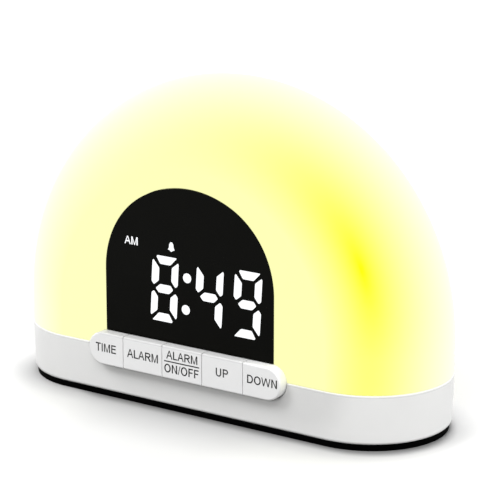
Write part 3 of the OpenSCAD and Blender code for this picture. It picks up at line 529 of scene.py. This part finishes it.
dome = dict(
    wall=2.0,
    rimRound=0.25,                # rounding of the wall's edge at the window and the keys
    windowFlange=1.5,             # how far the window's hidden flange reaches past its face
    windowGap=0.15,
    sideArc=30.0,                 # radii of the window's arch at its sides and over its top
    topArc=37.5,
    keyGap=0.2,
    meets=(2.5, 33.0, 72.0),      # where along the disc's outline the window's side and its two arcs begin
    columns=(12, 30, 44, 24),     # points along the bar's end, the window's side and its two arcs
    rimRows=5,
    flatRows=4,
    shoulderRows=97,
    backRows=6,
)


# Evenly spaced stretches, one after another: each ends where the next begins, and the last keeps its end
def stretches(ends, counts):
    parts = [np.linspace(first, last, count, endpoint=False)
             for first, last, count in zip(ends, ends[1:], counts)]
    return np.concatenate([*parts, ends[-1:]])


# Half of the hole for keys and window, from the seam to the top, as distances to the side and heights.
# It runs round the bar's end, straight up, and over two arcs that share their tangent where they meet
def holeOutline():
    side = windowHigh[0] - dome["windowFlange"] + dome["windowGap"]
    sideArc = dome["sideArc"] + dome["windowGap"]
    topArc = dome["topArc"] + dome["windowGap"]
    topCentre = windowHigh[2] - dome["windowFlange"] - dome["topArc"]
    offCentre = side - sideArc
    sideCentre = topCentre + math.sqrt((topArc - sideArc) ** 2 - offCentre ** 2)
    joint = math.atan2(sideCentre - topCentre, offCentre)
    bar = barRound + dome["keyGap"]
    start = math.asin((seamZ - barMiddle) / bar)
    stop = math.acos((side - barStraight) / bar)
    foot = barMiddle + bar * math.sin(stop)
    turnCount, riseCount, lowCount, highCount = dome["columns"]
    turn = np.linspace(start, stop, turnCount, endpoint=False)
    rise = np.linspace(foot, sideCentre, riseCount, endpoint=False)
    low = np.linspace(0, joint, lowCount, endpoint=False)
    high = np.linspace(joint, math.pi / 2, highCount + 1)
    across = [barStraight + bar * np.cos(turn), np.full_like(rise, side),
              offCentre + sideArc * np.cos(low), topArc * np.cos(high)]
    up = [barMiddle + bar * np.sin(turn), rise,
          sideCentre + sideArc * np.sin(low), topCentre + topArc * np.sin(high)]
    return np.column_stack([np.concatenate(across), np.concatenate(up)])


# Half of the disc's flat face beside that hole, straight up the skirt and then round:
# its points, and the directions in which the shoulder bulges there
def discOutline():
    flat = domeHigh[0] - domeHigh[1]
    centre = domeHigh[2] - domeHigh[0]
    skirt = centre - seamZ
    along = stretches((0, *dome["meets"], skirt + flat * math.pi / 2), dome["columns"])
    angle = np.maximum(along - skirt, 0) / flat
    outward = np.column_stack([np.cos(angle), np.sin(angle)])
    up = np.where(along < skirt, seamZ + along, centre + flat * outward[:, 1])
    return np.column_stack([flat * outward[:, 0], up]), outward


# The left half as well, so that the points run from the left foot over the top to the right foot
def bothHalves(points):
    return np.concatenate([points * (-1, 1), points[-2::-1]])


# Steps of the dome's rows: over the rim's quarter round, the face, the shoulder's half round and the back
def rowSteps():
    return (np.linspace(0, math.pi / 2, dome["rimRows"]),
            np.linspace(0, 1, dome["flatRows"] + 1)[1:-1],
            np.linspace(0, math.pi, dome["shoulderRows"]),
            np.linspace(1, 0, dome["backRows"] + 1)[1:])


# Points of one side of the dome's wall, whose face and back lie at a reach from the middle plane.
# Rows go from the hole over the face, the half round shoulder and the back to one point at the seam;
# away leads from the hole's edge into the face
def wallSide(hole, away, disc, outward, reach, rimDepth):
    lift, share, tilt, close = [steps[:, None, None] for steps in rowSteps()]
    rim = dome["rimRound"]
    edge = hole + away * rim
    foot = np.array((0, seamZ))
    flat = np.concatenate([hole + away * rim * (1 - np.cos(lift)), edge + (disc - edge) * share,
                           disc + outward * reach * np.sin(tilt), foot + (disc - foot) * close])
    depth = np.concatenate([-reach + rimDepth * (1 - np.sin(lift)), np.full_like(share, -reach),
                            -reach * np.cos(tilt), np.full_like(close, reach)])
    depth = np.broadcast_to(depth[..., 0], flat.shape[:2])
    return np.dstack([flat[..., 0], depth, flat[..., 1]])


# Share of full yellow in the painted sheen: the squared cosine between the wall and the way to the sheen's
# point, in front, and after half a turn behind. tilt turns the wall from facing forwards (0) over outwards to
# backwards (pi)
def paintedYellowShareOf(points, outward, tilt):
    outX, outZ = outward.T
    total = 0
    for turned in (1, -1):
        lean = tilt if turned > 0 else math.pi - tilt
        shift = glow["bend"] * (points[..., 2] - glow["bendFrom"])
        lean = lean - shift * np.clip(lean / glow["bendOver"], 0, 1)
        ahead = np.stack([turned * outX * np.sin(lean), -np.cos(lean), outZ * np.sin(lean)], -1)
        towards = np.array(glow["paintedSheenPoint"]) - points * (turned, turned, 1)
        cosine = (ahead * towards).sum(-1) / np.linalg.norm(towards, axis=-1)
        if turned < 0:
            start, full = np.radians(glow["rear"])
            cosine = cosine * np.clip((start - lean) / (start - full), 0, 1)
        total = total + np.maximum(cosine, 0) ** 2
    return np.minimum(total, 1)


# Quads of a shell whose inner rows follow its outer rows in reverse, and strips that close its two ends
def shellQuads(count, columns):
    quads = gridQuads(2 * count, columns, loop=True)
    row = np.arange(count - 1)
    twin = 2 * count - 1 - row
    for column in (0, columns - 1):
        quads += (np.stack([row, row + 1, twin - 1, twin], -1) * columns + column).tolist()
    return quads


# Dome: a flat face, a half round shoulder and a flat back, carried along the disc's outline,
# and the same rows one wall further in
def buildDome():
    hole = bothHalves(holeOutline())
    disc, outward = [bothHalves(half) for half in discOutline()]
    slopeX, slopeZ = np.gradient(hole, axis=0).T
    away = np.column_stack([-slopeZ, slopeX]) / np.hypot(slopeX, slopeZ)[:, None]
    reach = domeHigh[1]
    outer = wallSide(hole, away, disc, outward, reach, dome["rimRound"])
    inner = wallSide(hole, away, disc, outward, reach - dome["wall"], 0)
    lift, share, tilt, close = rowSteps()
    tilt = np.concatenate([0 * lift, 0 * share, tilt, 0 * close + math.pi])[:, None]
    # Painted sheen: share of full yellow at each point of the outer wall, kept on the inner wall too
    paintedYellowShare = paintedYellowShareOf(outer, outward, tilt)
    points = np.concatenate([outer, inner[::-1]]).reshape(-1, 3)
    marks = {"paintedYellowShare": np.concatenate([paintedYellowShare, paintedYellowShare[::-1]])}
    quads = shellQuads(*outer.shape[:2])
    piece = makePiece("dome_diffuser", points, quads, materials["diffuser"], "case", marks)
    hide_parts("dome")


buildDome()
print("dome: diffuser shell round window and keys")


# Closed outline whose corners are short curves: each runs between points on the corner's two sides,
# as (1 - t)^2 of the first, 2 t (1 - t) of the corner itself and t^2 of the last.
# most is the greatest share of a side that a curve takes
def roundCorners(corners, radius, steps=5, most=0.45):
    corners = np.asarray(corners, float)
    sides = [np.roll(corners, turn, 0) - corners for turn in (1, -1)]
    lengths = [np.linalg.norm(side, axis=1, keepdims=True) for side in sides]
    reach = np.minimum(radius, most * np.minimum(*lengths))
    first, last = [corners + side / length * reach for side, length in zip(sides, lengths)]
    t = np.linspace(0, 1, steps)[None, :, None]
    curve = (1 - t) ** 2 * first[:, None] + 2 * t * (1 - t) * corners[:, None] + t ** 2 * last[:, None]
    return curve.reshape(-1, 2)


# Closed plates on a plane that faces -Y. Each shape is an outline and its holes, as points across and up:
# two filled caps, one a thickness before the other, and a quad between them below each edge
def placePlates(name, shapes, plane, thickness, material, body):
    points, faces, first = [], [], 0
    for loops in shapes:
        flat = np.concatenate(loops)
        count = len(flat)
        caps = np.array(tessellate_polygon([np.insert(loop, 2, 0, 1).tolist() for loop in loops])) + first
        faces += caps.tolist() + (caps + count).tolist()
        for depth in (plane, plane - thickness):
            points.append(np.insert(flat, 1, depth, 1))
        for loop in loops:
            here = np.arange(len(loop))
            after = np.roll(here, -1)
            faces += (np.column_stack([here, after, after + count, here + count]) + first).tolist()
            first += len(loop)
        first += count
    return makePiece(name, np.concatenate(points), faces, material, body)


# Points of an ellipse's arc; its ends are given in quarter turns
def arc(x, z, wide, high, start, stop, quarterSteps=10):
    turn = np.linspace(start, stop, 1 + round(quarterSteps * abs(stop - start))) * math.pi / 2
    return np.column_stack([x + wide * np.cos(turn), z + high * np.sin(turn)]).tolist()


# Letters of a plain grotesque, one unit high: the room before each, its width, the room behind,
# and its loops. Uprights are s wide and level strokes b high, and round letters pass the line by a little
def alphabet(s, b):
    over = 0.017
    return {
        "A": (0.0, 0.94, 0.0, [
            [(0, 0), (0.15, 0), (0.265, 0.3), (0.675, 0.3), (0.79, 0), (0.94, 0), (0.54, 1), (0.4, 1)],
            [(0.31, 0.3 + b), (0.63, 0.3 + b), (0.47, 0.87)]]),
        "D": (0.11, 0.83, 0.07, [
            [(0, 0), *arc(0.38, 0.5, 0.45, 0.5, -1, 1), (0, 1)],
            [(s, b), *arc(0.38, 0.5, 0.45 - s, 0.5 - b, -1, 1), (s, 1 - b)]]),
        "E": (0.11, 0.75, 0.07, [
            [(0, 0), (0.75, 0), (0.75, b), (s, b), (s, 0.46), (0.7, 0.46), (0.7, 0.46 + b), (s, 0.46 + b),
             (s, 1 - b), (0.73, 1 - b), (0.73, 1), (0, 1)]]),
        "F": (0.11, 0.67, 0.06, [
            [(0, 0), (s, 0), (s, 0.44), (0.59, 0.44), (0.59, 0.44 + b), (s, 0.44 + b), (s, 1 - b),
             (0.67, 1 - b), (0.67, 1), (0, 1)]]),
        "I": (0.13, s, 0.13, [
            [(0, 0), (s, 0), (s, 1), (0, 1)]]),
        "L": (0.1, 0.62, 0.05, [
            [(0, 0), (0.62, 0), (0.62, b), (s, b), (s, 1), (0, 1)]]),
        "M": (0.1, 0.96, 0.1, [
            [(0, 0), (s, 0), (s, 0.84), (0.42, 0), (0.54, 0), (0.96 - s, 0.84), (0.96 - s, 0), (0.96, 0),
             (0.96, 1), (0.78, 1), (0.48, 0.17), (0.18, 1), (0, 1)]]),
        "N": (0.11, 0.79, 0.11, [
            [(0, 0), (s, 0), (s, 0.79), (0.78 - s, 0), (0.79, 0), (0.79, 1), (0.79 - s, 1),
             (0.79 - s, 0.21), (0.01 + s, 1), (0, 1)]]),
        "O": (0.07, 0.96, 0.06, [
            arc(0.48, 0.5, 0.48, 0.5 + over, 0, 4)[:-1],
            arc(0.48, 0.5, 0.47 - s, 0.5 + over - b, 0, 4)[:-1]]),
        "P": (0.11, 0.76, 0.06, [
            [(0, 0), (s, 0), (s, 0.41), *arc(0.45, 0.705, 0.31, 0.295, -1, 1), (0, 1)],
            [(s, 0.41 + b), *arc(0.45, 0.705, 0.31 - s, 0.295 - b, -1, 1), (s, 1 - b)]]),
        "R": (0.11, 0.88, 0.01, [
            [(0, 0), (s, 0), (s, 0.44), (0.36, 0.44), (0.71, 0), (0.88, 0),
             *arc(0.47, 0.72, 0.35, 0.28, -0.8, 1), (0, 1)],
            [(s, 0.44 + b), *arc(0.47, 0.72, 0.35 - s, 0.28 - b, -1, 1), (s, 1 - b)]]),
        "T": (0.03, 0.79, 0.03, [
            [(0.395 - s / 2, 0), (0.395 + s / 2, 0), (0.395 + s / 2, 1 - b), (0.79, 1 - b), (0.79, 1),
             (0, 1), (0, 1 - b), (0.395 - s / 2, 1 - b)]]),
        "U": (0.11, 0.79, 0.11, [
            [(0, 1), *arc(0.395, 0.36, 0.395, 0.36 + over, 2, 4), (0.79, 1), (0.79 - s, 1),
             *arc(0.395, 0.36, 0.395 - s, 0.36 + over - b, 4, 2), (s, 1)]]),
        "W": (0.02, 1.28, 0.02, [
            [(0, 1), (0.135, 1), (0.32, 0.19), (0.57, 1), (0.71, 1), (0.96, 0.19), (1.145, 1), (1.28, 1),
             (1.03, 0), (0.895, 0), (0.64, 0.82), (0.385, 0), (0.25, 0)]]),
        "/": (0.0, 0.39, 0.0, [
            [(0, -over), (0.1, -over), (0.39, 1 + over), (0.29, 1 + over)]]),
    }


# Shapes of a word: its letters side by side, stretched between the two sides and the two heights of its box
def wordShapes(word, box, stem, bar):
    letters = alphabet(stem, bar)
    shapes, pen = [], 0
    for sign in word:
        before, width, behind, loops = letters[sign]
        pen += before
        shapes.append([np.array(loop) + (pen, 0) for loop in loops])
        end = pen + width
        pen = end + behind
    start = shapes[0][0][:, 0].min()
    x0, z0, x1, z1 = box
    scale = np.array([(x1 - x0) / (end - start), z1 - z0])
    return [[(loop - (start, 0)) * scale + (x0, z0) for loop in loops] for loops in shapes]


# Lit marks in the window, in millimetres from the object's middle and from the ground
display = dict(
    plane=windowLow[1],
    proud=0.04,                   # how far they stand out of the window's face
    middle=41.8,                  # height of the digits' middle
    lean=0.062,                   # how far a digit leans to the right for each millimetre of height
    corner=0.42,                  # radius at the corners of the segments
    digits=(("digit_eight", -9.2, "top upperLeft upperRight middle lowerLeft lowerRight bottom"),
            ("digit_four", 8.6, "upperLeft upperRight middle lowerRight"),
            ("digit_nine", 23.45, "top upperLeft upperRight middle lowerRight bottom")),
    dotRadius=1.62,
    dots=((-0.1, 46.9), (-0.7, 36.15)),
    bell=(-6.35, 56.4),
    bellCorner=0.25,
    word=(-25.4, 54.9, -20.0, 57.6),       # left, bottom, right and top
    wordStem=0.18,                # widths of the letters' strokes as shares of their height
    wordBar=0.16,
)

# Corners of the segments of a digit about its middle, before it leans
segments = dict(
    top=[(-3.8, 10.65), (-3.5, 11.1), (4.15, 11.1), (4.2, 10.85), (1.9, 8.3), (-2.2, 8.3)],
    upperLeft=[(-5.35, 9.1), (-5.0, 9.6), (-2.5, 6.9), (-2.5, 2.6), (-4.4, 1.0), (-5.4, 2.15)],
    upperRight=[(5.2, 8.95), (4.9, 9.45), (2.55, 7.5), (2.55, 2.95), (4.3, 1.0), (5.2, 1.75)],
    middle=[(-3.6, -0.1), (-1.9, 1.45), (2.3, 1.45), (3.45, 0.1), (1.9, -1.45), (-2.3, -1.45)],
)
for whole, opposite in (("top", "bottom"), ("upperLeft", "lowerRight"), ("upperRight", "lowerLeft")):
    segments[opposite] = [(-x, -z) for x, z in segments[whole]]

# Right half of the bell about its middle, from its crown down to its clapper's side, and the clapper's foot
bellHalf = [(0.0, 1.65), (0.5, 1.4), (0.85, 0.7), (0.92, -0.3),
            (1.3, -0.85), (1.15, -1.1), (0.6, -1.1), (0.45, -1.4)]
bellFoot = [(0.0, -1.65)]


# Each digit is its lit segments, sheared by the lean: across grows with lean times up
def buildDisplay():
    marks = {}
    for name, centre, lit in display["digits"]:
        marks[name] = []
        for segment in lit.split():
            across, up = roundCorners(segments[segment], display["corner"]).T
            leaning = centre + across + display["lean"] * up
            marks[name].append([np.column_stack([leaning, display["middle"] + up])])
    radius = display["dotRadius"]
    marks["colon_dots"] = [[np.array(arc(*dot, radius, radius, 0, 4)[:-1])] for dot in display["dots"]]
    half = np.array(bellHalf)
    bell = roundCorners(np.concatenate([half, bellFoot, (half * (-1, 1))[:0:-1]]), display["bellCorner"])
    marks["bell_mark"] = [[np.array(display["bell"]) + bell]]
    marks["am_mark"] = wordShapes("AM", display["word"], display["wordStem"], display["wordBar"])
    for name, shapes in marks.items():
        placePlates(name, shapes, display["plane"], display["proud"], materials["lit"], "case")


buildDisplay()
print("display: digits, dots, bell and day half")

# Print on the keys, in millimetres. The boxes give left, bottom, right and top
keyPrint = dict(
    plane=keyLow[1],
    proud=0.03,
    stem=0.165,                   # widths of the letters' strokes as shares of their height
    bar=0.145,
    rule=(-7.1, 18.52, 7.0, 18.9),         # line between the two words of the middle key
    words=(
        ("label_time", "TIME", (-35.4, 17.2, -27.0, 20.1), "time_key"),
        ("label_alarm", "ALARM", (-22.3, 17.2, -9.6, 20.1), "alarm_key"),
        ("label_alarm_on_off_upper", "ALARM", (-6.2, 19.6, 6.3, 22.4), "alarm_on_off_key"),
        ("label_alarm_on_off_lower", "ON/OFF", (-7.0, 14.9, 6.8, 17.8), "alarm_on_off_key"),
        ("label_up", "UP", (13.6, 17.3, 18.4, 20.1), "up_key"),
        ("label_down", "DOWN", (25.8, 17.3, 37.2, 20.1), "down_key"),
    ),
)


def printKeys():
    x0, z0, x1, z1 = keyPrint["rule"]
    rule = np.array([(x0, z0), (x1, z0), (x1, z1), (x0, z1)])
    labels = [("label_alarm_on_off_line", [[rule]], "alarm_on_off_key")]
    for name, word, box, body in keyPrint["words"]:
        labels.append((name, wordShapes(word, box, keyPrint["stem"], keyPrint["bar"]), body))
    for name, shapes, body in labels:
        placePlates(name, shapes, keyPrint["plane"], keyPrint["proud"], materials["ink"], body)


printKeys()
print("keys:", len(keyPrint["words"]), "printed words and a rule")


# Light. Places and sizes in metres, power in watts
room = dict(
    sky=0.88,                     # strength of the light that comes evenly from all round
    aim=(0.0, 0.0, 0.05),         # where the lamps point
    lamps=(
        dict(name="overhead", place=(0.0, 0.18, 1.3), size=0.45, power=12.0),
        dict(name="left_front", place=(-0.5, -0.8, 0.95), size=0.5, power=6.3),
        dict(name="right_front", place=(0.4, -0.8, 1.0), size=0.5, power=3.0),
        dict(name="left_edge", place=(-1.3, 0.6, 0.6), size=0.8, power=6.8),
        dict(name="right_edge", place=(1.3, 0.0, 0.5), size=0.8, power=6.8),
    ),
)


# The world lights evenly, and it is plain white where it is seen or mirrored
def buildSky():
    world = Finish(bpy.data.worlds.new("white_room"))
    strength = fromLeast(room["sky"], world.seen())
    light = world.add("ShaderNodeBackground", values={"Color": white, "Strength": strength})
    world.add("ShaderNodeOutputWorld", values={"Surface": light})
    bpy.context.scene.world = world.owner


# Colours of the floor, with painted shade round the object and a painted contact shadow beside the sole.
# Distances in metres, as the floor's coordinates
floor = dict(
    size=6.0,
    # near: darker grey round the object, a painted shade
    near=paint(188, 188, 188),
    far=paint(243, 243, 242),     # paler away from the object, so that the floor fades to white and the painted shade round the object ends
    fade=(0.06, 0.26),            # distances from the object's middle over which it pales
    bounce=paint(95, 95, 95),     # darker floor that the gathered light meets, so that recesses stay shaded
    endsPale=0.1,                 # how much further it has paled in front of the object's ends, where the painted shade is narrower
    endsAside=(0.02, 0.045),      # distances to the side of the middle over which that sets in
    endsAway=(0.0045, 0.0115),    # distances from the sole over which it sets in
    contactShare=0.5,             # painted contact shadow: share of the colour that is left right beside the sole
    contactFade=(-0.003, 0.002),      # distances from the contact's outline over which the colour returns
    contactShift=(0.0105, -0.003),    # how far that outline lies aside of and behind the sole's
    contactShort=7.5,             # mm by which its straight middle is shorter
)


# Floor: its grey, a painted shade round the object that pales by distance and in front of the ends, times a
# painted contact shadow right beside the sole
def floorFinish():
    finish = newFinish("floor_white_painted_shadow")
    x, y, z = finish.axes()
    away = finish.fromPill(x, y, soleStraight, soleRound)
    sideways = finish.rise(finish.maths("ABSOLUTE", x), *floor["endsAside"])
    ends = sideways * finish.rise(away, *floor["endsAway"]) * floor["endsPale"]
    fade = finish.rise((x * x + y * y) ** 0.5, *floor["fade"])
    pale = finish.between(fade + ends, floor["near"], floor["far"])
    aside, ahead = floor["contactShift"]
    beside = finish.fromPill(x - aside, y - ahead, soleStraight - floor["contactShort"], soleRound)
    # Painted contact shadow beside the sole
    contact = fromLeast(floor["contactShare"], finish.rise(beside, *floor["contactFade"]))
    shaded = finish.between(contact, black, pale)
    colour = finish.between(finish.seen(), floor["bounce"], shaded)
    matt = finish.add("ShaderNodeBsdfDiffuse", values={"Color": colour})
    finish.add("ShaderNodeOutputMaterial", values={"Surface": matt})
    return finish.owner


def buildFloor():
    half = floor["size"] / 2
    corners = [(-half, -half, 0), (half, -half, 0), (half, half, 0), (-half, half, 0)]
    mesh = bpy.data.meshes.new("floor")
    mesh.from_pydata(corners, [], [(0, 1, 2, 3)])
    mesh.materials.append(floorFinish())
    plane = bpy.data.objects.new("floor", mesh)
    bpy.context.scene.collection.objects.link(plane)


# Square area lamp that points at the object's middle
def addLamp(name, place, size, power):
    light = bpy.data.lights.new(name, "AREA")
    light.size = size
    light.energy = power
    lamp = bpy.data.objects.new(name, light)
    bpy.context.scene.collection.objects.link(lamp)
    lamp.location = place
    away = lamp.location - Vector(room["aim"])
    lamp.rotation_euler = away.to_track_quat("Z", "Y").to_euler()


# Angles in degrees, the azimuth from the front; distance and target in metres, lens and sensor in millimetres
view = dict(
    azimuth=34.57,
    elevation=14.60,
    distance=0.7031,
    target=(0.00140, 0.00062, 0.05391),
    lens=158.7,
    sensor=36.0,
)


def addCamera():
    camera = bpy.data.cameras.new("camera")
    camera.lens = view["lens"]
    camera.sensor_width = view["sensor"]
    holder = bpy.data.objects.new("camera", camera)
    bpy.context.scene.collection.objects.link(holder)
    turn, rise = math.radians(view["azimuth"]), math.radians(view["elevation"])
    away = np.array([math.sin(turn) * math.cos(rise), -math.cos(turn) * math.cos(rise), math.sin(rise)])
    holder.location = np.array(view["target"]) + away * view["distance"]
    holder.rotation_euler = (math.pi / 2 - rise, 0, turn)
    bpy.context.scene.camera = holder


buildSky()
buildFloor()
for lamp in room["lamps"]:
    addLamp(**lamp)
addCamera()
bpy.context.scene.view_settings.view_transform = "Standard"
print("room: floor, world,", len(room["lamps"]), "lamps and camera")
